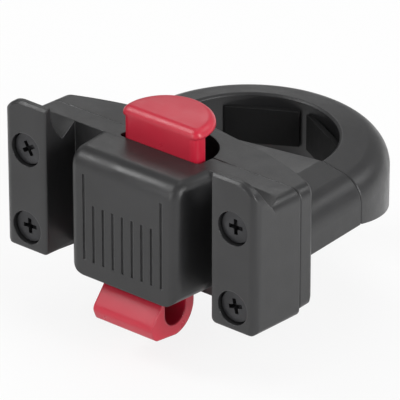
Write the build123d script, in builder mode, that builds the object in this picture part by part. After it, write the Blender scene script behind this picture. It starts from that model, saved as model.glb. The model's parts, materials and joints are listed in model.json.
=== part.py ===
from build123d import *
from math import cos, pi, radians, sin, tan
import os

os.makedirs("parts", exist_ok=True)

# Frame: the clamped tube's axis is Z, the bag hangs on the -Y side, X is to the right.
# Lengths are in millimetres and angles in degrees.

# Clamp, placed from the tube.
TUBE_R = 10.5  # circle that all four pads touch with the bow closed
JAW_GAP = 1.8  # from that circle to the bottom of the jaw's shallow vee
JAW_ANGLE = 9.7  # slope of the vee's two faces
ARM_REACH = 3.5  # from the bottom of the vee to the seam between arms and bow
REAR_PAD_ANGLE = 29.0
REAR_PAD_T = 2.6  # thickness at the middle
REAR_PAD_W = 17.8
PAD_PLATE_T = 1.4  # upright front of a rear pad
PAD_STEP = 2.2  # how far the pad lies lower behind it
FRONT_PAD_W = 14.4
PAD_GAP = 1.2  # between the front pads and the middle, along the vee
PAD_TOP_Z = 3.4
PAD_BOTTOM_Z = -5.8
RING_WALL = 11.7
RING_TOP_Z = 6.3  # inner edge of the loop's top
RING_FALL = 2.4  # fall of that top out to the wall
RING_FILLET = 6.5
RING_EDGE = 0.6  # chamfer along the loop's inner top edge
RING_BOTTOM_Z = -6.5
BOW_FALL = 0.25  # fall of the bow's underside per millimetre towards the back

# Body: depths are measured back from the front plane of the two posts.
BODY_DEPTH = 40.5  # to the bottom of the jaw's vee
SEAM_DEPTH = 16.2  # to the joint between front and rear housing
CHANNEL_DEPTH = 10.2  # to the back wall of the two channels
ARCH_MID = 29.8  # to the rear housing's back, at the middle
ARCH_SIDE = 20.6  # and at the sides
ARM_ROOT = 1.8  # from the joint of the housings to the arms' start, inside the rear housing
HALF_WIDTH = 36.5
TOP_Z = 15.5  # top of the body above the channels' back wall
TOP_FALL = 0.085  # its fall per millimetre towards the back
TOP_R = 2.8
REAR_BOTTOM_Z = -16.0
BOTTOM_R = 2.2
SEAM_BOTTOM_Z = -16.5
BACK_CHAMFER = 0.8
SEAM_CHAMFER = 0.25

# Posts.
POST_INNER = 23.9
POST_BOTTOM_Z = -15.6
POST_R = 2.2
LIP_Z = 21.9
LIP_T = 1.7
LIP_R = 5.5  # outer top corner
LIP_HOLLOW = 1.0  # how far the back of the lip is hollowed
LIP_CHAMFER = 0.7
LIP_FOOT = 2.4  # run-out of the lip's foot along the side
LIP_FOOT_H = 4.0
POST_SHELF_Z = 8.0  # where the shaped tops of the posts begin
DISH_DEPTH = 5.8  # lowest line of the posts' tops, behind the lips
DISH_Z = 12.6
DISH_RISE = 2.4  # rise of that line towards the outside

# Centre block.
BLOCK_HALF = 15.4
BLOCK_FLARE = 1.6  # extra half width where it joins the back wall
BLOCK_PROUD = 2.0  # in front of the posts
BLOCK_SINK = 1.0  # into the back wall
BLOCK_TOP_Z = 16.0
BLOCK_BOTTOM_Z = -15.1
BLOCK_CROWN_R = 4.4
BLOCK_SIDE_R = 2.6
BLOCK_CORNER_R = 4.0  # lower corners
GROOVE_COUNT = 9
GROOVE_PITCH = 2.8
GROOVE_W = 0.7
GROOVE_D = 0.4
GROOVE_BOTTOM_Z = -11.0
GROOVE_LONG_Z = 10.9
GROOVE_SHORT_Z = 3.6

# Housing screws.
SCREW_X = 30.0
SCREW_Z = 10.0
SCREW_D = 4.0
SCREW_RECESS_D = 8.3
SCREW_HEAD_D = 7.7
SCREW_HEAD_H = 2.5
SCREW_SEAT = 3.6  # depth of the recess
SCREW_GRIP = 3.6  # length in the rear housing
SCREW_TURNS = (4, 32, 14, 2)  # how each cross happens to stand
CROSS_L = 3.8
CROSS_W = 1.0
CROSS_MID = 1.5  # square in the middle of the cross
CROSS_D = 1.6

# Clamp bolts, washers and nuts.
BOLT_INSET = 5.0  # from the loop's inside
BOLT_Z = -0.8
BOLT_D = 5.0
BOLT_HEAD_D = 8.5
BOLT_HEAD_H = 5.0
BOLT_SOCKET_AF = 4.0
BOLT_SOCKET_D = 2.6
BOLT_SEAT = 6.4  # behind the joint of the housings
BOLT_TIP = 14.2  # behind the seam of the clamp
WASHER_D = 9.0
WASHER_T = 1.0
NUT_AF = 8.0
NUT_T = 4.0
NUT_SET = 1.8  # behind the seam of the clamp
RUN = 0.05  # running clearance
LOOSE = 0.2  # clearance round heads
HOLE_END = 0.5  # spare depth of blind holes

# Release slider, its hole and its slot.
BUTTON_R = 11.3
BUTTON_SET = 5.2  # from the joint of the housings forward to the button's flat front
BUTTON_C = 2.6  # from there to the centre of its round back
BUTTON_TOP_Z = 23.2
BUTTON_RIM_Z = 21.0
BUTTON_CORNER_R = 2.0
BUTTON_CHAMFER = 1.2
STEM_HALF = 10.6
STEM_T = 3.6
STEM_BOTTOM_Z = 11.0
HOLE_GAP = 0.3  # beside the button
HOLE_SET = 0.9  # the centre of the hole's round back lies this much behind the button's
HOLE_CORNER_R = 1.2
STEM_FLOOR_Z = 4.4
SPRING_FLOOR_Z = 3.0
TONGUE_HALF = 7.3
TONGUE_SET = 0.8  # from the button's front forward to the tongue's
TONGUE_T = 2.7
TONGUE_ROOT = 1.0  # overlap with the stem
HOOK_HALF = 8.6
HOOK_Z = -20.6
HOOK_R = 3.85
HOOK_GAP = 0.13  # shoulders of the hook under the housing
NOSE_Z = -17.8  # top of the hook's nose
NOSE_BACK = 4.65  # from the middle of the hook's U forward to the start of its slope
NOSE_TIP = 8.75  # and to its tip
NOSE_TIP_Z = -22.5
NOSE_UNDER = 7.35
NOSE_UNDER_Z = -25.9
NOSE_R = 1.8

# Return spring.
SPRING_BACK = 5.8  # axis behind the centre of the button's round back
SPRING_R = 2.9
SPRING_WIRE = 0.9
SPRING_TURNS = 5
SPRING_RUNS = 12  # straight runs in a turn
SPRING_PLAY = 0.15  # under the button
BOSS_GAP = 0.4
BOSS_H = 2.0
BOSS_SINK = 0.5

# Places that follow from these.
jaw_y = -TUBE_R - JAW_GAP
clamp_seam_y = jaw_y + ARM_REACH
front_y = jaw_y - BODY_DEPTH
seam_y = front_y + SEAM_DEPTH
channel_y = front_y + CHANNEL_DEPTH
dish_y = front_y + DISH_DEPTH
block_y = front_y - BLOCK_PROUD
block_back_y = channel_y + BLOCK_SINK
ring_inner = TUBE_R - clamp_seam_y * cos(radians(REAR_PAD_ANGLE)) + REAR_PAD_T
ring_outer = ring_inner + RING_WALL
ring_edge_z = RING_TOP_Z - RING_FALL
bolt_x = ring_inner + BOLT_INSET
bolt_seat_y = seam_y + BOLT_SEAT
bolt_tip_y = clamp_seam_y + BOLT_TIP
nut_y = clamp_seam_y + NUT_SET
button_y = seam_y - BUTTON_SET
button_c_y = button_y + BUTTON_C
hole_r = BUTTON_R + HOLE_GAP
hole_c_y = button_c_y + HOLE_SET
tongue_y = button_y - TONGUE_SET
tongue_back_y = tongue_y + TONGUE_T
hook_r_out = HOOK_R + TONGUE_T
hook_y = tongue_back_y - hook_r_out
bottom_slope = (SEAM_BOTTOM_Z - POST_BOTTOM_Z) / SEAM_DEPTH
hook_top_z = POST_BOTTOM_Z + bottom_slope * (tongue_back_y - front_y) - HOOK_GAP
spring_y = button_c_y + SPRING_BACK
boss_r = SPRING_R - SPRING_WIRE / 2 - BOSS_GAP
reach = 3 * HALF_WIDTH  # long enough for any cut right through
bolt_places = [(bolt_x, BOLT_Z), (-bolt_x, BOLT_Z)]

# Front view of the body's top corners, square to its falling top.
top_view = Plane(origin=(0, channel_y, TOP_Z), x_dir=(-1, 0, 0), z_dir=(0, 1, -TOP_FALL))


def front_plane(y):
    """Plane seen from the bag side: X to the right, Z up. Extruding by a negative amount goes back."""
    return Plane.XZ.offset(-y)


def block_plan():
    """Tapering plan of the centre block, at its underside."""
    with BuildSketch(Plane.XY.offset(BLOCK_BOTTOM_Z)) as plan:
        with BuildLine():
            Polyline(
                (-BLOCK_HALF - BLOCK_FLARE, block_back_y),
                (-BLOCK_HALF, block_y),
                (BLOCK_HALF, block_y),
                (BLOCK_HALF + BLOCK_FLARE, block_back_y),
                close=True,
            )
        make_face()
    return plan.sketch


with BuildPart() as block_corners:
    # Lower corners of the centre block.
    extrude(block_plan(), amount=reach)
    side_faces = block_corners.faces().sort_by(Axis.X)
    fillet(
        side_faces[0].edges().sort_by(Axis.Z)[0:1] + side_faces[-1].edges().sort_by(Axis.Z)[0:1],
        BLOCK_CORNER_R,
    )


with BuildPart() as centre_block:
    # Block between the channels: tapering plan, crowned towards the front, rounded along its sides.
    extrude(block_plan(), amount=reach)
    with BuildSketch(Plane.YZ):
        with BuildLine():
            Polyline(
                (block_back_y, TOP_Z - TOP_FALL * BLOCK_SINK),
                (block_back_y, BLOCK_BOTTOM_Z),
                (block_y, BLOCK_BOTTOM_Z),
                (block_y, BLOCK_TOP_Z - BLOCK_CROWN_R),
            )
            TangentArc(
                (block_y, BLOCK_TOP_Z - BLOCK_CROWN_R),
                (block_y + BLOCK_CROWN_R, BLOCK_TOP_Z),
                tangent=(0, 1),
            )
            Line((block_y + BLOCK_CROWN_R, BLOCK_TOP_Z), (block_back_y, TOP_Z - TOP_FALL * BLOCK_SINK))
        make_face()
    extrude(amount=reach, both=True, mode=Mode.INTERSECT)
    side_faces = centre_block.faces().sort_by(Axis.X)
    side_edges = side_faces[0].edges() + side_faces[-1].edges()
    fillet(
        side_edges.filter_by(lambda e: e.center().Y < block_back_y - RUN).filter_by(
            lambda e: e.center().Z > BLOCK_BOTTOM_Z + RUN
        ),
        BLOCK_SIDE_R,
    )
    add(block_corners.part, mode=Mode.INTERSECT)


def lip_profile(x, rise):
    """Side view of a lip at one X: upright front, hollow back and a sloping foot."""
    top = (front_y + LIP_T, LIP_Z + rise)
    low = (dish_y, DISH_Z + rise)
    mid = ((top[0] + low[0]) / 2 - LIP_HOLLOW, (top[1] + low[1]) / 2 - LIP_HOLLOW / 2)
    foot = (dish_y + LIP_FOOT, DISH_Z + rise - LIP_FOOT_H)
    with BuildSketch(Plane.YZ.offset(x)) as view:
        with BuildLine():
            ThreePointArc(top, mid, low)
            Polyline(low, foot, (foot[0], POST_SHELF_Z), (front_y, POST_SHELF_Z), (front_y, top[1]), top)
        make_face()
    return view.sketch


def ramp_profile(x, rise):
    """Side view of a post's top behind its lip, rising to the back wall."""
    with BuildSketch(Plane.YZ.offset(x)) as view:
        with BuildLine():
            Polyline(
                (front_y, DISH_Z + rise),
                (dish_y, DISH_Z + rise),
                (channel_y, TOP_Z),
                (channel_y, POST_SHELF_Z),
                (front_y, POST_SHELF_Z),
                close=True,
            )
        make_face()
    return view.sketch


with BuildPart() as post_lip:
    # Lip on the right post, its foot rising towards the outside.
    loft([lip_profile(POST_INNER, 0), lip_profile(HALF_WIDTH, DISH_RISE)], ruled=True)
    with BuildSketch(front_plane(front_y)) as lip_view:
        with Locations(((POST_INNER + HALF_WIDTH) / 2, LIP_Z / 2)):
            Rectangle(HALF_WIDTH - POST_INNER, LIP_Z)
        fillet(lip_view.vertices().group_by(Axis.Y)[-1].sort_by(Axis.X)[-1], LIP_R)
    extrude(amount=-reach, mode=Mode.INTERSECT)
    chamfer(
        post_lip.edges().group_by(Axis.Y)[0].filter_by(lambda e: e.center().Z > LIP_Z - LIP_R / 2),
        LIP_CHAMFER,
    )


with BuildPart() as post_ramp:
    # Top of the right post behind the lip.
    loft([ramp_profile(POST_INNER, 0), ramp_profile(HALF_WIDTH, DISH_RISE)], ruled=True)


with BuildPart() as front_housing:
    # Side view of the posts and the back wall.
    with BuildSketch(Plane.YZ):
        with BuildLine():
            Polyline(
                (seam_y, TOP_Z - TOP_FALL * (seam_y - channel_y)),
                (seam_y, SEAM_BOTTOM_Z),
                (front_y, POST_BOTTOM_Z),
                (front_y, POST_SHELF_Z),
                (channel_y, POST_SHELF_Z),
                (channel_y, TOP_Z),
                close=True,
            )
        make_face()
    extrude(amount=HALF_WIDTH, both=True)
    add(post_ramp.part)
    add(mirror(post_ramp.part, about=Plane.YZ, mode=Mode.PRIVATE))
    # Rounded outer corners, seen along the falling top.
    with BuildSketch(top_view) as corners:
        with Locations((0, (SEAM_BOTTOM_Z - TOP_Z) / 2)):
            Rectangle(2 * HALF_WIDTH, TOP_Z - SEAM_BOTTOM_Z)
        fillet(corners.vertices().group_by(Axis.Y)[-1], TOP_R)
        fillet(corners.vertices().group_by(Axis.Y)[0], BOTTOM_R)
    extrude(amount=reach, both=True, mode=Mode.INTERSECT)
    chamfer(front_housing.edges().group_by(Axis.Y)[-1], SEAM_CHAMFER)
    add(post_lip.part)
    add(mirror(post_lip.part, about=Plane.YZ, mode=Mode.PRIVATE))
    # Plan: rounded outer front edges of the posts.
    with BuildSketch(Plane.XY) as plan:
        with Locations((0, (front_y + seam_y) / 2)):
            Rectangle(2 * HALF_WIDTH, SEAM_DEPTH)
        fillet(plan.vertices().group_by(Axis.Y)[0], POST_R)
    extrude(amount=reach, both=True, mode=Mode.INTERSECT)
    # Clear the middle in front of the channels' back wall.
    with BuildSketch(Plane.XY):
        with Locations((0, channel_y - CHANNEL_DEPTH)):
            Rectangle(2 * POST_INNER, 2 * CHANNEL_DEPTH)
    extrude(amount=reach, both=True, mode=Mode.SUBTRACT)
    add(centre_block.part)
    # Upright grooves in the block's front face: long ones at the ends, short ones between.
    with BuildSketch(front_plane(block_y)):
        for i in range(GROOVE_COUNT):
            top = GROOVE_LONG_Z if i in (0, GROOVE_COUNT - 1) else GROOVE_SHORT_Z
            with Locations(((i - (GROOVE_COUNT - 1) / 2) * GROOVE_PITCH, (top + GROOVE_BOTTOM_Z) / 2)):
                Rectangle(GROOVE_W, top - GROOVE_BOTTOM_Z)
    extrude(amount=-GROOVE_D, mode=Mode.SUBTRACT)
    # Hole for the button and slot for the tongue.
    with BuildSketch(Plane.XY.offset(STEM_FLOOR_Z)) as button_hole:
        with Locations((0, (button_y - RUN + seam_y) / 2)):
            Rectangle(2 * hole_r, seam_y - button_y + RUN)
        fillet(button_hole.vertices().group_by(Axis.Y)[0], HOLE_CORNER_R)
    extrude(amount=reach, mode=Mode.SUBTRACT)
    with BuildSketch(Plane.XY.offset(STEM_BOTTOM_Z + 2 * RUN)):
        with Locations((0, (tongue_y + tongue_back_y) / 2)):
            Rectangle(2 * (TONGUE_HALF + RUN), TONGUE_T + 2 * RUN)
    extrude(amount=-reach, mode=Mode.SUBTRACT)
    # Recessed screw holes.
    with BuildSketch(front_plane(front_y)):
        with GridLocations(2 * SCREW_X, 2 * SCREW_Z, 2, 2):
            Circle(SCREW_RECESS_D / 2)
    extrude(amount=-SCREW_SEAT, mode=Mode.SUBTRACT)
    with BuildSketch(front_plane(front_y)):
        with GridLocations(2 * SCREW_X, 2 * SCREW_Z, 2, 2):
            Circle(SCREW_D / 2)
    extrude(amount=-reach, mode=Mode.SUBTRACT)
front_housing.part.label = "front_housing"
export_step(front_housing.part, "parts/front_housing.step")


with BuildPart() as rear_housing:
    # Body with the arched back and the falling, rounded top.
    with BuildSketch(Plane.XY.offset(REAR_BOTTOM_Z)):
        with BuildLine():
            Polyline(
                (-HALF_WIDTH, front_y + ARCH_SIDE),
                (-HALF_WIDTH, seam_y),
                (HALF_WIDTH, seam_y),
                (HALF_WIDTH, front_y + ARCH_SIDE),
            )
            ThreePointArc(
                (HALF_WIDTH, front_y + ARCH_SIDE),
                (0, front_y + ARCH_MID),
                (-HALF_WIDTH, front_y + ARCH_SIDE),
            )
        make_face()
    extrude(amount=TOP_Z - REAR_BOTTOM_Z)
    fillet(
        rear_housing.edges().filter_by(Axis.Y).filter_by(lambda e: e.center().Z < REAR_BOTTOM_Z + RUN),
        BOTTOM_R,
    )
    with BuildSketch(top_view) as corners:
        with Locations((0, -HALF_WIDTH)):
            Rectangle(2 * HALF_WIDTH, 2 * HALF_WIDTH)
        fillet(corners.vertices().group_by(Axis.Y)[-1], TOP_R)
    extrude(amount=reach, both=True, mode=Mode.INTERSECT)
    chamfer(rear_housing.edges().group_by(Axis.Y)[0], SEAM_CHAMFER)
    chamfer(rear_housing.faces().sort_by(Axis.Y)[-1].edges(), BACK_CHAMFER)
    # Arms and jaw: one section along Y, shouldered at the outside.
    with BuildSketch(front_plane(seam_y + ARM_ROOT)) as arm_section:
        with BuildLine():
            Polyline(
                (0, RING_TOP_Z),
                (0, RING_BOTTOM_Z),
                (ring_outer, RING_BOTTOM_Z),
                (ring_outer, ring_edge_z),
                (ring_inner, RING_TOP_Z),
                (0, RING_TOP_Z),
            )
        make_face()
        fillet(arm_section.vertices().sort_by_distance((ring_outer, ring_edge_z, 0))[0], RING_FILLET)
        mirror(about=Plane.YZ)
    extrude(amount=seam_y + ARM_ROOT - clamp_seam_y)
    # Shallow vee of the jaw.
    with BuildSketch(Plane.XY):
        with BuildLine():
            Polyline(
                (0, jaw_y),
                (ring_inner, jaw_y + ring_inner * tan(radians(JAW_ANGLE))),
                (ring_inner, clamp_seam_y + ARM_REACH),
                (-ring_inner, clamp_seam_y + ARM_REACH),
                (-ring_inner, jaw_y + ring_inner * tan(radians(JAW_ANGLE))),
                close=True,
            )
        make_face()
    extrude(amount=reach, both=True, mode=Mode.SUBTRACT)
    # Top edge of the jaw, then the outer edges of the arms' ends, where they meet the bow.
    chamfer(
        rear_housing.edges()
        .filter_by(lambda e: abs(e.center().Z - RING_TOP_Z) < RUN)
        .filter_by(lambda e: jaw_y < e.center().Y < clamp_seam_y - RUN)
        .filter_by(lambda e: abs(e.center().X) < ring_inner - RUN),
        RING_EDGE,
    )
    chamfer(
        rear_housing.edges()
        .filter_by(lambda e: abs(e.center().Y - clamp_seam_y) < RUN)
        .filter_by(lambda e: abs(e.center().X) > ring_inner + RUN),
        SEAM_CHAMFER,
    )
    # Hole for the button, with the spring's floor.
    with BuildSketch(Plane.XY.offset(SPRING_FLOOR_Z)):
        with Locations((0, hole_c_y)):
            Circle(hole_r)
        with Locations((0, seam_y - reach / 2)):
            Rectangle(reach, reach, mode=Mode.SUBTRACT)
    extrude(amount=reach, mode=Mode.SUBTRACT)
    # Boss that keeps the spring in place.
    with BuildSketch(Plane.XY.offset(SPRING_FLOOR_Z - BOSS_SINK)):
        with Locations((0, spring_y)):
            Circle(boss_r)
    extrude(amount=BOSS_H + BOSS_SINK)
    # Threaded holes for the housing screws.
    with BuildSketch(front_plane(seam_y)):
        with GridLocations(2 * SCREW_X, 2 * SCREW_Z, 2, 2):
            Circle(SCREW_D / 2)
    extrude(amount=-SCREW_GRIP - HOLE_END, mode=Mode.SUBTRACT)
    # Bolt holes through the arms, with recesses for washers and heads.
    with BuildSketch(front_plane(seam_y)):
        with Locations(bolt_places):
            Circle(WASHER_D / 2 + LOOSE)
    extrude(amount=-BOLT_SEAT, mode=Mode.SUBTRACT)
    with BuildSketch(front_plane(seam_y)):
        with Locations(bolt_places):
            Circle(BOLT_D / 2)
    extrude(amount=-reach, mode=Mode.SUBTRACT)
rear_housing.part.label = "rear_housing"
export_step(rear_housing.part, "parts/rear_housing.step")


with BuildPart() as clamp_bow:
    with BuildSketch(front_plane(clamp_seam_y)) as bow_section:
        with BuildLine():
            Polyline(
                (ring_inner, RING_TOP_Z),
                (ring_inner, RING_BOTTOM_Z - reach * BOW_FALL),
                (ring_outer, RING_BOTTOM_Z - reach * BOW_FALL),
                (ring_outer, ring_edge_z),
                close=True,
            )
        make_face()
        fillet(bow_section.vertices().sort_by_distance((ring_outer, ring_edge_z, 0))[0], RING_FILLET)
        chamfer(bow_section.vertices().sort_by_distance((ring_inner, RING_TOP_Z, 0))[0], RING_EDGE)
    revolve(axis=Axis((0, clamp_seam_y, 0), (0, 0, 1)), revolution_arc=180)
    # Underside falling towards the back.
    with BuildSketch(Plane.YZ):
        with BuildLine():
            Polyline(
                (clamp_seam_y, RING_BOTTOM_Z),
                (clamp_seam_y + reach, RING_BOTTOM_Z - reach * BOW_FALL),
                (clamp_seam_y + reach, -2 * reach),
                (clamp_seam_y, -2 * reach),
                close=True,
            )
        make_face()
    extrude(amount=reach, both=True, mode=Mode.SUBTRACT)
    # Outer edges of the ends, where they meet the arms.
    chamfer(
        clamp_bow.edges()
        .filter_by(lambda e: abs(e.center().Y - clamp_seam_y) < RUN)
        .filter_by(lambda e: abs(e.center().X) > ring_inner + RUN),
        SEAM_CHAMFER,
    )
    # Blind bolt holes, and nut slots open below.
    with BuildSketch(front_plane(clamp_seam_y)):
        with Locations(bolt_places):
            Circle(BOLT_D / 2 + RUN)
    extrude(amount=-BOLT_TIP - HOLE_END, mode=Mode.SUBTRACT)
    with BuildSketch(front_plane(nut_y)):
        with Locations(bolt_places):
            RegularPolygon(NUT_AF / 2, 6, major_radius=False, rotation=30)
        with Locations([(x, z - NUT_AF) for x, z in bolt_places]):
            Rectangle(NUT_AF, 2 * NUT_AF)
    extrude(amount=-NUT_T, mode=Mode.SUBTRACT)
clamp_bow.part.label = "clamp_bow"
export_step(clamp_bow.part, "parts/clamp_bow.step")


# Rear pads: flat chord faces against the round inside of the bow.
rear_normal = (sin(radians(REAR_PAD_ANGLE)), cos(radians(REAR_PAD_ANGLE)))
rear_plane = Plane(
    origin=(TUBE_R * rear_normal[0], TUBE_R * rear_normal[1], PAD_BOTTOM_Z),
    x_dir=(rear_normal[1], -rear_normal[0], 0),
    z_dir=(0, 0, 1),
)
pad_mid = rear_plane.to_local_coords(Vector(0, clamp_seam_y, PAD_BOTTOM_Z)).X
with BuildPart() as rear_pad_right:
    with BuildSketch(rear_plane):
        with Locations((pad_mid, REAR_PAD_T)):
            Rectangle(REAR_PAD_W, 2 * REAR_PAD_T)
    extrude(amount=PAD_TOP_Z - PAD_BOTTOM_Z)
    with BuildSketch(Plane.XY):
        with Locations((0, clamp_seam_y)):
            Circle(ring_inner)
    extrude(amount=reach, both=True, mode=Mode.INTERSECT)
    # Lower back, so that the front stands up as a plate.
    with BuildSketch(rear_plane.offset(PAD_TOP_Z - PAD_BOTTOM_Z)):
        with Locations((pad_mid, PAD_PLATE_T + REAR_PAD_T)):
            Rectangle(REAR_PAD_W, 2 * REAR_PAD_T)
    extrude(amount=-PAD_STEP, mode=Mode.SUBTRACT)
rear_pad_right.part.label = "rear_pad_right"
export_step(rear_pad_right.part, "parts/rear_pad_right.step")

with BuildPart() as rear_pad_left:
    add(mirror(rear_pad_right.part, about=Plane.YZ, mode=Mode.PRIVATE))
rear_pad_left.part.label = "rear_pad_left"
export_step(rear_pad_left.part, "parts/rear_pad_left.step")


# Front pads: flat strips on the two faces of the jaw's vee.
front_normal = (sin(radians(JAW_ANGLE)), -cos(radians(JAW_ANGLE)))
front_pad_t = -jaw_y * cos(radians(JAW_ANGLE)) - TUBE_R
with BuildPart() as front_pad_right:
    with BuildSketch(
        Plane(
            origin=(0, jaw_y, PAD_BOTTOM_Z),
            x_dir=(-front_normal[1], front_normal[0], 0),
            z_dir=(0, 0, 1),
        )
    ):
        with Locations((PAD_GAP + FRONT_PAD_W / 2, front_pad_t / 2)):
            Rectangle(FRONT_PAD_W, front_pad_t)
    extrude(amount=PAD_TOP_Z - PAD_BOTTOM_Z)
front_pad_right.part.label = "front_pad_right"
export_step(front_pad_right.part, "parts/front_pad_right.step")

with BuildPart() as front_pad_left:
    add(mirror(front_pad_right.part, about=Plane.YZ, mode=Mode.PRIVATE))
front_pad_left.part.label = "front_pad_left"
export_step(front_pad_left.part, "parts/front_pad_left.step")


with BuildPart() as release_slider:
    # Button cap: round behind, flat in front, bevelled round its top.
    with BuildSketch(Plane.XY.offset(BUTTON_RIM_Z)) as cap:
        with Locations((0, button_c_y)):
            Circle(BUTTON_R)
        with Locations((0, button_y - reach / 2)):
            Rectangle(reach, reach, mode=Mode.SUBTRACT)
        fillet(cap.vertices(), BUTTON_CORNER_R)
    extrude(amount=BUTTON_TOP_Z - BUTTON_RIM_Z)
    chamfer(release_slider.edges().group_by(Axis.Z)[-1], BUTTON_CHAMFER)
    # Stem under the cap's front part.
    with BuildSketch(Plane.XY.offset(STEM_BOTTOM_Z)) as stem:
        with Locations((0, button_y + STEM_T / 2)):
            Rectangle(2 * STEM_HALF, STEM_T)
        fillet(stem.vertices().group_by(Axis.Y)[0], BUTTON_CORNER_R)
    extrude(amount=BUTTON_RIM_Z - STEM_BOTTOM_Z)
    # Boss that keeps the spring in place.
    with BuildSketch(Plane.XY.offset(BUTTON_RIM_Z)):
        with Locations((0, spring_y)):
            Circle(boss_r)
    extrude(amount=-BOSS_H)
    # Tongue through the housing, rooted in the stem.
    with BuildSketch(Plane.XY.offset(STEM_BOTTOM_Z)):
        with Locations((0, (tongue_y + tongue_back_y) / 2)):
            Rectangle(2 * TONGUE_HALF, TONGUE_T)
    extrude(amount=hook_top_z - STEM_BOTTOM_Z - TONGUE_ROOT)
    with BuildSketch(Plane.XY.offset(STEM_BOTTOM_Z)):
        with Locations((0, (button_y + tongue_back_y) / 2)):
            Rectangle(2 * TONGUE_HALF, tongue_back_y - button_y)
    extrude(amount=TONGUE_ROOT)
    # Hook: an open U with a sloping nose.
    with BuildSketch(Plane.YZ) as hook:
        with BuildLine():
            Line((tongue_back_y, hook_top_z), (tongue_back_y, HOOK_Z))
            JernArc((tongue_back_y, HOOK_Z), (0, -1), hook_r_out, -90)
            Polyline(
                (hook_y, HOOK_Z - hook_r_out),
                (hook_y - NOSE_UNDER, NOSE_UNDER_Z),
                (hook_y - NOSE_TIP, NOSE_TIP_Z),
                (hook_y - NOSE_BACK, NOSE_Z),
                (hook_y - HOOK_R, NOSE_Z),
                (hook_y - HOOK_R, HOOK_Z),
            )
            JernArc((hook_y - HOOK_R, HOOK_Z), (0, -1), HOOK_R, 180)
            Polyline(
                (hook_y + HOOK_R, HOOK_Z),
                (hook_y + HOOK_R, hook_top_z),
                (tongue_back_y, hook_top_z),
            )
        make_face()
        fillet(hook.vertices().sort_by(Axis.X)[0:2], NOSE_R)
    extrude(amount=HOOK_HALF, both=True)
release_slider.part.label = "release_slider"
export_step(release_slider.part, "parts/release_slider.step")


with BuildPart() as return_spring:
    # Coil of short straight runs of square wire.
    runs = SPRING_TURNS * SPRING_RUNS
    rise = (BUTTON_RIM_Z - SPRING_PLAY - SPRING_FLOOR_Z - SPRING_WIRE) / runs
    with BuildLine() as coil:
        Polyline(
            [
                (
                    SPRING_R * cos(2 * pi * i / SPRING_RUNS),
                    spring_y + SPRING_R * sin(2 * pi * i / SPRING_RUNS),
                    SPRING_FLOOR_Z + SPRING_WIRE / 2 + i * rise,
                )
                for i in range(runs + 1)
            ]
        )
    with BuildSketch(Plane(origin=coil.line @ 0, x_dir=(0, 0, 1), z_dir=coil.line % 0)):
        Rectangle(SPRING_WIRE, SPRING_WIRE)
    sweep(transition=Transition.RIGHT)
return_spring.part.label = "return_spring"
export_step(return_spring.part, "parts/return_spring.step")


with BuildPart() as housing_screws:
    head_y = front_y + SCREW_SEAT - SCREW_HEAD_H
    with BuildSketch(front_plane(head_y)):
        with GridLocations(2 * SCREW_X, 2 * SCREW_Z, 2, 2):
            Circle(SCREW_HEAD_D / 2)
    extrude(amount=-SCREW_HEAD_H)
    with BuildSketch(front_plane(front_y + SCREW_SEAT)):
        with GridLocations(2 * SCREW_X, 2 * SCREW_Z, 2, 2):
            Circle(SCREW_D / 2)
    extrude(amount=SCREW_SEAT - SEAM_DEPTH - SCREW_GRIP)
    with BuildSketch(front_plane(head_y)):
        for place, turn in zip(GridLocations(2 * SCREW_X, 2 * SCREW_Z, 2, 2), SCREW_TURNS):
            with Locations(place):
                Rectangle(CROSS_L, CROSS_W, rotation=turn)
                Rectangle(CROSS_W, CROSS_L, rotation=turn)
                Rectangle(CROSS_MID, CROSS_MID, rotation=turn + 45)
    extrude(amount=-CROSS_D, mode=Mode.SUBTRACT)
housing_screws.part.label = "housing_screws"
export_step(housing_screws.part, "parts/housing_screws.step")


with BuildPart() as clamp_bolts:
    head_seat_y = bolt_seat_y - WASHER_T
    with BuildSketch(front_plane(head_seat_y)):
        with Locations(bolt_places):
            Circle(BOLT_HEAD_D / 2)
    extrude(amount=BOLT_HEAD_H)
    with BuildSketch(front_plane(head_seat_y)):
        with Locations(bolt_places):
            Circle(BOLT_D / 2)
    extrude(amount=head_seat_y - bolt_tip_y)
    with BuildSketch(front_plane(head_seat_y - BOLT_HEAD_H)):
        with Locations(bolt_places):
            RegularPolygon(BOLT_SOCKET_AF / 2, 6, major_radius=False)
    extrude(amount=-BOLT_SOCKET_D, mode=Mode.SUBTRACT)
clamp_bolts.part.label = "clamp_bolts"
export_step(clamp_bolts.part, "parts/clamp_bolts.step")


with BuildPart() as bolt_washers:
    with BuildSketch(front_plane(bolt_seat_y)):
        with Locations(bolt_places):
            Circle(WASHER_D / 2)
            Circle(BOLT_D / 2, mode=Mode.SUBTRACT)
    extrude(amount=WASHER_T)
bolt_washers.part.label = "bolt_washers"
export_step(bolt_washers.part, "parts/bolt_washers.step")


with BuildPart() as clamp_nuts:
    with BuildSketch(front_plane(nut_y)):
        with Locations(bolt_places):
            RegularPolygon(NUT_AF / 2, 6, major_radius=False, rotation=30)
            Circle(BOLT_D / 2 + RUN, mode=Mode.SUBTRACT)
    extrude(amount=-NUT_T)
clamp_nuts.part.label = "clamp_nuts"
export_step(clamp_nuts.part, "parts/clamp_nuts.step")
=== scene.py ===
import json
import math

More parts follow.
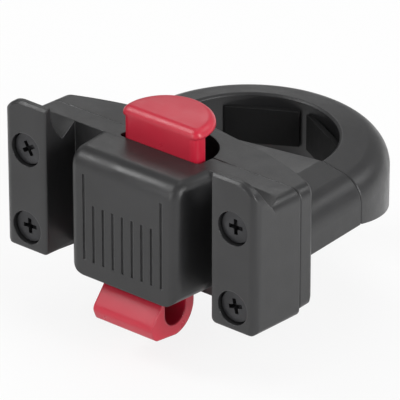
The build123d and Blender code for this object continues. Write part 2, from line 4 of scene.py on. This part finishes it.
import bmesh
import bpy
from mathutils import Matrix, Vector


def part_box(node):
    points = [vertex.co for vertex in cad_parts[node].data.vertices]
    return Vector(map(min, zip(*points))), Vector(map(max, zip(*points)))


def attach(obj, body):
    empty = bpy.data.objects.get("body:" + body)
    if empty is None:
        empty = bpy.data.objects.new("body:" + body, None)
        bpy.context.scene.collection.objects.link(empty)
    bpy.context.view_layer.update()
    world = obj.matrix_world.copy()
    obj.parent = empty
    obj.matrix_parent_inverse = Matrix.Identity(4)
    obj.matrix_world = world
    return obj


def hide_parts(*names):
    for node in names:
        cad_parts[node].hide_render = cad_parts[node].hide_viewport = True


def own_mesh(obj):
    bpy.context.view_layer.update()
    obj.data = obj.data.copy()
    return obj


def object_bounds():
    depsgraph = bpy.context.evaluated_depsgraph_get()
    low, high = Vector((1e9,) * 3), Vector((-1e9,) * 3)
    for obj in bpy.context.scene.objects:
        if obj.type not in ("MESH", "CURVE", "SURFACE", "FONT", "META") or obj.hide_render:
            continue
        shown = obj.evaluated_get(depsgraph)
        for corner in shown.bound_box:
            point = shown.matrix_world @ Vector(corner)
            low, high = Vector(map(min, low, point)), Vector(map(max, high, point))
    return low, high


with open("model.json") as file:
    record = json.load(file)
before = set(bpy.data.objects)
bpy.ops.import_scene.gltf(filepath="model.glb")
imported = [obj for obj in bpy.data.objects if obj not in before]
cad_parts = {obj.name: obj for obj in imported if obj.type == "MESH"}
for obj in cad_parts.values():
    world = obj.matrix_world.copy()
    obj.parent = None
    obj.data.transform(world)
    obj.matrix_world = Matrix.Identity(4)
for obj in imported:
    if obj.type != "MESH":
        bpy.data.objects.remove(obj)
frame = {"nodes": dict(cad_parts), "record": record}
cad_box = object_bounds()
nodes = frame["nodes"]
scene = bpy.context.scene
scene.view_settings.view_transform = "Standard"
release_travel = 0.006

# Sockets of a colour Mix node, which share their names with those of its other types.
MIX_FACTOR = 0
MIX_FIRST = 6
MIX_SECOND = 7
MIX_RESULT = 2


def new_material(name):
    mat = bpy.data.materials.new(name)
    mat.use_nodes = True
    tree = mat.node_tree
    tree.nodes.clear()
    out = tree.nodes.new("ShaderNodeOutputMaterial")
    return mat, tree, out


def noise(tree, coords, scale, detail=4.0, rough=0.55):
    node = tree.nodes.new("ShaderNodeTexNoise")
    node.inputs["Scale"].default_value = scale
    node.inputs["Detail"].default_value = detail
    node.inputs["Roughness"].default_value = rough
    tree.links.new(coords, node.inputs["Vector"])
    return node.outputs["Fac"]


def ramp(tree, value, span, result=(0.0, 1.0)):
    node = tree.nodes.new("ShaderNodeMapRange")
    node.inputs["From Min"].default_value = span[0]
    node.inputs["From Max"].default_value = span[1]
    node.inputs["To Min"].default_value = result[0]
    node.inputs["To Max"].default_value = result[1]
    tree.links.new(value, node.inputs["Value"])
    return node.outputs["Result"]


def mix_colour(tree, value, first, second):
    node = tree.nodes.new("ShaderNodeMix")
    node.data_type = "RGBA"
    node.inputs[MIX_FIRST].default_value = (*first, 1)
    node.inputs[MIX_SECOND].default_value = (*second, 1)
    tree.links.new(value, node.inputs[MIX_FACTOR])
    return node


def soft_edges(tree, radius):
    node = tree.nodes.new("ShaderNodeBevel")
    node.samples = 6
    node.inputs["Radius"].default_value = radius
    return node.outputs["Normal"]


def bump(tree, height, strength, distance, normal):
    node = tree.nodes.new("ShaderNodeBump")
    node.inputs["Strength"].default_value = strength
    node.inputs["Distance"].default_value = distance
    tree.links.new(height, node.inputs["Height"])
    tree.links.new(normal, node.inputs["Normal"])
    return node.outputs["Normal"]


def edge_rub_highlight(tree, bevelled, coords):
    """Uneven band along the edges, where the rounded normal leaves the face's own; colour there is made
    paler, partly rub wear and partly painted highlight.
    """
    flat = tree.nodes.new("ShaderNodeNewGeometry").outputs["Normal"]
    agree = tree.nodes.new("ShaderNodeVectorMath")
    agree.operation = "DOT_PRODUCT"
    tree.links.new(bevelled, agree.inputs[0])
    tree.links.new(flat, agree.inputs[1])
    band = ramp(tree, agree.outputs["Value"], span=(0.985, 0.88))
    patches = noise(tree, coords, scale=320.0, rough=0.6)
    both = tree.nodes.new("ShaderNodeMath")
    both.operation = "MULTIPLY"
    tree.links.new(band, both.inputs[0])
    tree.links.new(ramp(tree, patches, span=(0.35, 0.65), result=(0.25, 1.0)), both.inputs[1])
    return both.outputs[0]


def moulded(name, base, pale, worn_highlit, rough, grain, grain_depth, edge, specular=0.5):
    """Moulded plastic or rubber: fine grain, slow drift and waves, soft edges paler and smoother; the paler
    edge is partly rub wear and partly painted highlight.
    """
    mat, tree, out = new_material(name)
    bsdf = tree.nodes.new("ShaderNodeBsdfPrincipled")
    tree.links.new(bsdf.outputs["BSDF"], out.inputs["Surface"])
    coords = tree.nodes.new("ShaderNodeTexCoord").outputs["Object"]
    drift = noise(tree, coords, scale=45.0, detail=3.0)
    fine = noise(tree, coords, scale=grain, detail=3.0, rough=0.6)
    rounded = soft_edges(tree, edge)
    rubbed_highlit = edge_rub_highlight(tree, rounded, coords)
    body = mix_colour(tree, ramp(tree, drift, span=(0.35, 0.7)), base, pale)
    # Paler colour along the edges: partly rub wear, partly painted highlight.
    tinted = mix_colour(tree, rubbed_highlit, base, worn_highlit)
    tree.links.new(body.outputs[MIX_RESULT], tinted.inputs[MIX_FIRST])
    tree.links.new(tinted.outputs[MIX_RESULT], bsdf.inputs["Base Color"])
    scuffs = noise(tree, coords, scale=160.0, detail=5.0, rough=0.65)
    polish = tree.nodes.new("ShaderNodeMath")
    polish.operation = "MULTIPLY_ADD"
    polish.inputs[1].default_value = -0.08
    tree.links.new(rubbed_highlit, polish.inputs[0])
    tree.links.new(ramp(tree, scuffs, span=(0.3, 0.75), result=(rough - 0.08, rough + 0.1)), polish.inputs[2])
    tree.links.new(polish.outputs[0], bsdf.inputs["Roughness"])
    swell = noise(tree, coords, scale=75.0, detail=2.0, rough=0.4)
    waves = bump(tree, swell, strength=0.3, distance=0.0004, normal=rounded)
    surface = bump(tree, fine, strength=0.6, distance=grain_depth, normal=waves)
    tree.links.new(surface, bsdf.inputs["Normal"])
    bsdf.inputs["Specular IOR Level"].default_value = specular
    return mat


def metal(name, base, pale, rough, edge, metallic=1.0):
    """Machined steel: fine turning marks and a slightly uneven sheen."""
    mat, tree, out = new_material(name)
    bsdf = tree.nodes.new("ShaderNodeBsdfPrincipled")
    tree.links.new(bsdf.outputs["BSDF"], out.inputs["Surface"])
    coords = tree.nodes.new("ShaderNodeTexCoord").outputs["Object"]
    stretch = tree.nodes.new("ShaderNodeMapping")
    stretch.inputs["Scale"].default_value = (1.0, 7.0, 1.0)
    tree.links.new(coords, stretch.inputs["Vector"])
    marks = noise(tree, stretch.outputs["Vector"], scale=900.0, rough=0.6)
    drift = noise(tree, coords, scale=220.0)
    body = mix_colour(tree, ramp(tree, drift, span=(0.35, 0.7)), base, pale)
    tree.links.new(body.outputs[MIX_RESULT], bsdf.inputs["Base Color"])
    sheen = ramp(tree, marks, span=(0.3, 0.7), result=(rough - 0.08, rough + 0.1))
    tree.links.new(sheen, bsdf.inputs["Roughness"])
    surface = bump(tree, marks, strength=0.35, distance=0.00004, normal=soft_edges(tree, edge))
    tree.links.new(surface, bsdf.inputs["Normal"])
    bsdf.inputs["Metallic"].default_value = metallic
    return mat


# The third colour of each moulded finish is its paler edge colour: partly rub wear, partly painted highlight.
black_plastic = moulded(
    "black_plastic",
    base=(0.014, 0.014, 0.0145),
    pale=(0.02, 0.02, 0.021),
    worn_highlit=(0.045, 0.045, 0.047),
    rough=0.36,
    grain=2600.0,
    grain_depth=0.00005,
    edge=0.00045,
)
red_plastic = moulded(
    "red_plastic",
    base=(0.455, 0.009, 0.03),
    pale=(0.515, 0.014, 0.038),
    worn_highlit=(0.6, 0.05, 0.08),
    rough=0.34,
    grain=2200.0,
    grain_depth=0.00002,
    edge=0.0008,
    specular=0.55,
)
black_rubber = moulded(
    "black_rubber",
    base=(0.005, 0.005, 0.0052),
    pale=(0.008, 0.008, 0.0083),
    worn_highlit=(0.03, 0.03, 0.031),
    rough=0.75,
    grain=1500.0,
    grain_depth=0.00009,
    edge=0.0003,
    specular=0.15,
)
black_steel = metal(
    "black_steel",
    base=(0.03, 0.03, 0.032),
    pale=(0.05, 0.05, 0.053),
    rough=0.34,
    edge=0.00015,
    metallic=0.6,
)
bright_steel = metal(
    "bright_steel",
    base=(0.5, 0.5, 0.51),
    pale=(0.62, 0.62, 0.63),
    rough=0.3,
    edge=0.0001,
)

finish_of = {
    "front_housing": black_plastic,
    "rear_housing": black_plastic,
    "clamp_bow": black_plastic,
    "release_slider": red_plastic,
    "front_pad_left": black_rubber,
    "front_pad_right": black_rubber,
    "rear_pad_left": black_rubber,
    "rear_pad_right": black_rubber,
    "housing_screws": black_steel,
    "clamp_bolts": bright_steel,
    "bolt_washers": bright_steel,
    "clamp_nuts": bright_steel,
    "return_spring": bright_steel,
}
for node_name, mat in finish_of.items():
    obj = nodes[node_name]
    obj.data.materials.clear()
    obj.data.materials.append(mat)

# Rounded copies of two mouldings: the front housing, at the feet, inner edges and lips of its posts,
# and the release slider, at the button's top edge.
mount_places = {mount["name"]: mount["pos_m"] for mount in frame["record"]["mounts"]}
front_y = mount_places["left_post_face"][1]
post_inner = 0.0239
post_r = 0.0022
foot_z = -0.0150
lip_low_z = 0.0125
lip_depth = 0.0065
button_top_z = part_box("release_slider")[1][2]
button_chamfer = 0.0012
near = 0.00002
weld = 0.000001
sliver = 0.000002
flat_angle = math.radians(0.2)
steep_angle = math.radians(40)
crease_angle = math.radians(30)


def middle(edge):
    return (edge.verts[0].co + edge.verts[1].co) / 2


def at_height(edge, z):
    return all(abs(v.co.z - z) < near for v in edge.verts)


def at_post(edge):
    return all(abs(v.co.x) > post_inner - near for v in edge.verts)


def on_inner_foot(edge):
    """Lower edge of a post's inner face."""
    return all(abs(abs(v.co.x) - post_inner) < near and v.co.z < foot_z for v in edge.verts)


def on_front_rim(edge):
    """Inner edge of a post's front face, and the lower one with its turn round the outer corner."""
    mid = middle(edge)
    at_front = all(abs(v.co.y - front_y) < near for v in edge.verts)
    at_inside = at_front and abs(mid.x) < post_inner + post_r / 2
    at_foot = mid.z < foot_z and mid.y < front_y + post_r
    return at_post(edge) and (at_inside or at_foot)


def on_lip_back(edge):
    """Edges of a lip's hollow back."""
    mid = middle(edge)
    behind = front_y + post_r / 2 < mid.y < front_y + lip_depth
    return at_post(edge) and behind and mid.z > lip_low_z


def on_button_top(edge):
    """Upper and lower edge of the chamfer round the button's top."""
    return at_height(edge, button_top_z) or at_height(edge, button_top_z - button_chamfer)


def convex_edges(bm, chosen):
    joined = [e for e in bm.edges if len(e.link_faces) == 2]
    return [e for e in joined if e.calc_face_angle_signed() > steep_angle and chosen(e)]


def rounded_copy(name, node, rounds, finish):
    """Copy of a node's mesh with the chosen edges rounded, each by its radius and number of steps."""
    bm = bmesh.new()
    bm.from_mesh(nodes[node].data)
    bmesh.ops.remove_doubles(bm, verts=bm.verts, dist=weld)
    bmesh.ops.dissolve_limit(bm, angle_limit=flat_angle, verts=bm.verts, edges=bm.edges)
    for chosen, radius, segments in rounds:
        bmesh.ops.bevel(
            bm,
            geom=convex_edges(bm, chosen),
            offset=radius,
            offset_type="OFFSET",
            segments=segments,
            profile=0.5,
            affect="EDGES",
            clamp_overlap=True,
        )
    bmesh.ops.dissolve_degenerate(bm, dist=sliver, edges=bm.edges)
    bmesh.ops.triangulate(bm, faces=[f for f in bm.faces if len(f.verts) > 4])
    mesh = bpy.data.meshes.new(name)
    bm.to_mesh(mesh)
    bm.free()
    if mesh.attributes.get("custom_normal"):
        mesh.attributes.remove(mesh.attributes["custom_normal"])
    mesh.shade_smooth()
    mesh.set_sharp_from_angle(angle=crease_angle)
    mesh.materials.clear()
    mesh.materials.append(finish)
    piece = bpy.data.objects.new(name, mesh)
    scene.collection.objects.link(piece)
    return piece


front_rounds = (
    (on_inner_foot, 0.0013, 5),
    (on_front_rim, 0.0005, 3),
    (on_lip_back, 0.0005, 3),
)
front_moulding = rounded_copy("front_moulding", "front_housing", front_rounds, black_plastic)
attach(front_moulding, "housing")
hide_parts("front_housing")

button_rounds = ((on_button_top, 0.0006, 4),)
slider_moulding = rounded_copy("slider_moulding", "release_slider", button_rounds, red_plastic)
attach(slider_moulding, "release")
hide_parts("release_slider")

# Return spring: a smooth coil of round wire.
coil_low, coil_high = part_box("return_spring")
coil_mid = (Vector(coil_low) + Vector(coil_high)) / 2
coil_height = coil_high[2] - coil_low[2]
wire = 0.0009
coil_r = 0.0029
turns = 5
steps = 24
curve = bpy.data.curves.new("coil", "CURVE")
curve.dimensions = "3D"
curve.bevel_depth = wire / 2
curve.bevel_resolution = 3
curve.use_fill_caps = True
spline = curve.splines.new("POLY")
spline.points.add(turns * steps)
for i, point in enumerate(spline.points):
    turn = 2 * math.pi * i / steps
    height = coil_low[2] + wire / 2 + (coil_height - wire) * i / (turns * steps)
    point.co = (coil_mid.x + coil_r * math.cos(turn), coil_mid.y + coil_r * math.sin(turn), height, 1)
drawn = bpy.data.objects.new("coil_path", curve)
coil = bpy.data.objects.new("coil", bpy.data.meshes.new_from_object(drawn))
bpy.data.objects.remove(drawn)
scene.collection.objects.link(coil)
coil.data.shade_smooth()
coil.data.materials.clear()
coil.data.materials.append(bright_steel)
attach(coil, "housing")
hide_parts("return_spring")
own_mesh(coil)

# Pale floor under the hook's lowest reach, which keeps the shadow and stays white to the camera.
floor_gap = 0.002
floor_z = cad_box[0].z - release_travel - floor_gap
camera_share = 0.82
mirror_share = 0.2
bpy.ops.mesh.primitive_plane_add(size=6.0, location=(0, 0, floor_z))
floor = bpy.context.object
floor.name = "floor"
mat, tree, out = new_material("pale_floor")
diffuse = tree.nodes.new("ShaderNodeBsdfDiffuse")
diffuse.inputs["Color"].default_value = (0.92, 0.92, 0.92, 1)
white = tree.nodes.new("ShaderNodeEmission")
white.inputs["Color"].default_value = (1, 1, 1, 1)
path = tree.nodes.new("ShaderNodeLightPath")
mirrored = tree.nodes.new("ShaderNodeMath")
mirrored.operation = "MAXIMUM"
tree.links.new(path.outputs["Is Glossy Ray"], mirrored.inputs[0])
tree.links.new(path.outputs["Is Transmission Ray"], mirrored.inputs[1])
in_mirror = tree.nodes.new("ShaderNodeMath")
in_mirror.operation = "MULTIPLY"
in_mirror.inputs[1].default_value = mirror_share
tree.links.new(mirrored.outputs[0], in_mirror.inputs[0])
share = tree.nodes.new("ShaderNodeMath")
share.operation = "MULTIPLY_ADD"
share.inputs[1].default_value = camera_share
tree.links.new(path.outputs["Is Camera Ray"], share.inputs[0])
tree.links.new(in_mirror.outputs[0], share.inputs[2])
blend = tree.nodes.new("ShaderNodeMixShader")
tree.links.new(share.outputs[0], blend.inputs["Fac"])
tree.links.new(diffuse.outputs[0], blend.inputs[1])
tree.links.new(white.outputs[0], blend.inputs[2])
tree.links.new(blend.outputs[0], out.inputs["Surface"])
floor.data.materials.append(mat)

# White surroundings to the camera, an even dim light to the object.
world = bpy.data.worlds.new("studio")
scene.world = world
world.use_nodes = True
tree = world.node_tree
tree.nodes.clear()
out = tree.nodes.new("ShaderNodeOutputWorld")
dim = tree.nodes.new("ShaderNodeBackground")
dim.inputs["Color"].default_value = (1, 1, 1, 1)
dim.inputs["Strength"].default_value = 0.4
clear = tree.nodes.new("ShaderNodeBackground")
clear.inputs["Color"].default_value = (1, 1, 1, 1)
clear.inputs["Strength"].default_value = 1.0
path = tree.nodes.new("ShaderNodeLightPath")
blend = tree.nodes.new("ShaderNodeMixShader")
tree.links.new(path.outputs["Is Camera Ray"], blend.inputs["Fac"])
tree.links.new(dim.outputs[0], blend.inputs[1])
tree.links.new(clear.outputs[0], blend.inputs[2])
tree.links.new(blend.outputs[0], out.inputs["Surface"])

lamp_aim = Vector((0.0, -0.03, 0.0))


def lamp(name, place, size, power):
    data = bpy.data.lights.new(name, "AREA")
    data.shape = "DISK"
    data.size = size
    data.energy = power
    light = bpy.data.objects.new(name, data)
    scene.collection.objects.link(light)
    light.location = place
    light.rotation_euler = (lamp_aim - Vector(place)).to_track_quat("-Z", "Y").to_euler()


lamp("key", (-0.5, -0.45, 0.65), size=0.35, power=2.6)
lamp("front", (-0.15, -0.85, 0.25), size=0.5, power=1.9)
lamp("side", (0.8, -0.06, 0.3), size=0.5, power=6.0)
lamp("top", (0.0, 0.2, 0.85), size=0.5, power=0.6)
lamp("sheen", (-0.44, 0.55, 0.55), size=0.35, power=0.48)
lamp("rim", (0.4, 0.75, 0.55), size=0.35, power=0.9)

# Camera at the photograph's angle, far away with a long lens.
azimuth = math.radians(38.8)
elevation = math.radians(28.1)
look_at = Vector((0.010766, -0.040306, 0.005601))
camera_distance = 1.05
back = Vector(
    (
        math.sin(azimuth) * math.cos(elevation),
        -math.cos(azimuth) * math.cos(elevation),
        math.sin(elevation),
    )
)
camera_data = bpy.data.cameras.new("camera")
camera = bpy.data.objects.new("camera", camera_data)
scene.collection.objects.link(camera)
camera.location = look_at + back * camera_distance
camera.rotation_euler = (-back).to_track_quat("-Z", "Y").to_euler()
camera_data.sensor_width = 36.0
camera_data.lens = 421.2
camera_data.clip_start = 0.05
camera_data.clip_end = 20.0
scene.camera = camera
